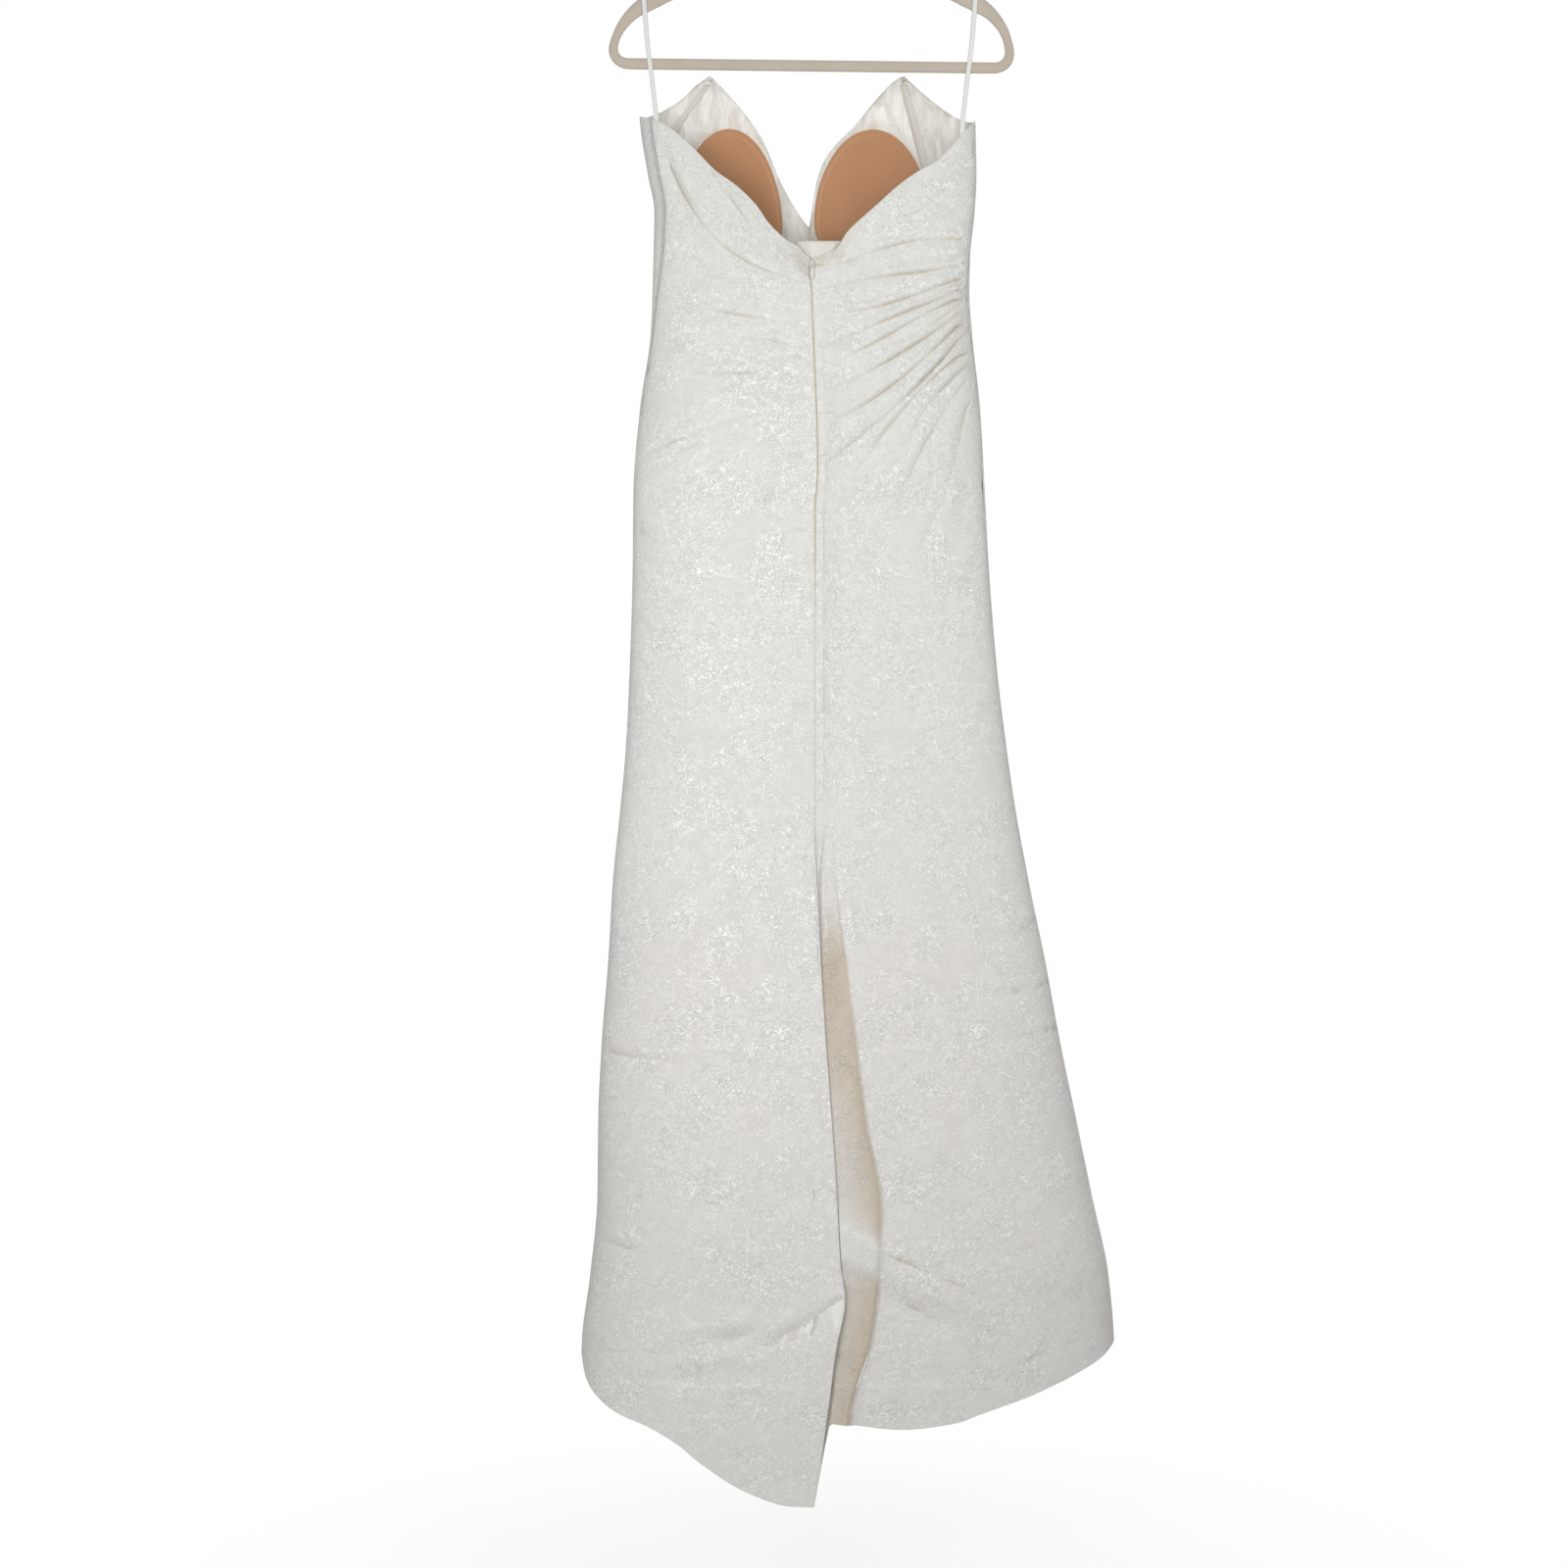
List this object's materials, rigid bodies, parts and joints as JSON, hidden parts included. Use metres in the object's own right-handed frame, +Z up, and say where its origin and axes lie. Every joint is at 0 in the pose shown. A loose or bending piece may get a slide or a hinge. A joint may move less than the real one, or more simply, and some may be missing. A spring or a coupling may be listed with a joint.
{
  "type": "strapless dress on a hanger",
  "caption": "Floor-length strapless dress with a deep V front, low back and short train, hung by ribbon loops from a velvet hanger, seen as it hangs.",
  "frame": {"origin": "inner top of the hanger's hook, where it rests on a rod", "axes": "+Z up, +X to the right of someone who faces the back of the dress, -Y out of the back of the dress"},
  "size_m": [0.5893, 0.1725, 1.7787],
  "materials": {
    "ivory_jacquard": "woven, satin sheen",
    "lining_satin": "satin",
    "tan_foam": "brushed cover on foam",
    "white_ribbon": "satin",
    "taupe_velvet": "flocked velvet on plastic",
    "pale_enamel": "enamelled die-cast",
    "bright_steel": "polished wire"
  },
  "bodies": {
    "dress": {"back_left": "ivory_jacquard", "back_right": "ivory_jacquard", "front_panel": "ivory_jacquard", "lining_left": "lining_satin", "lining_right": "lining_satin", "cup_left": "tan_foam", "cup_right": "tan_foam", "boning_left": "lining_satin", "boning_right": "lining_satin", "zip_tape": "lining_satin", "zip_guard": "lining_satin", "zip_slider": "pale_enamel", "loop_left": "white_ribbon", "loop_right": "white_ribbon", "hanger_body": "taupe_velvet", "hanger_hook": "bright_steel"},
    "pull_tab": {"zip_tab": "pale_enamel"}
  },
  "joints": [
    {"name": "pull_tab_swing", "type": "hinge", "parent": "dress", "child": "pull_tab", "pos_m": [0.0003, -0.03584, -0.4322], "axis": [-1, 0, 0], "range_deg": [0, 150]}
  ]
}
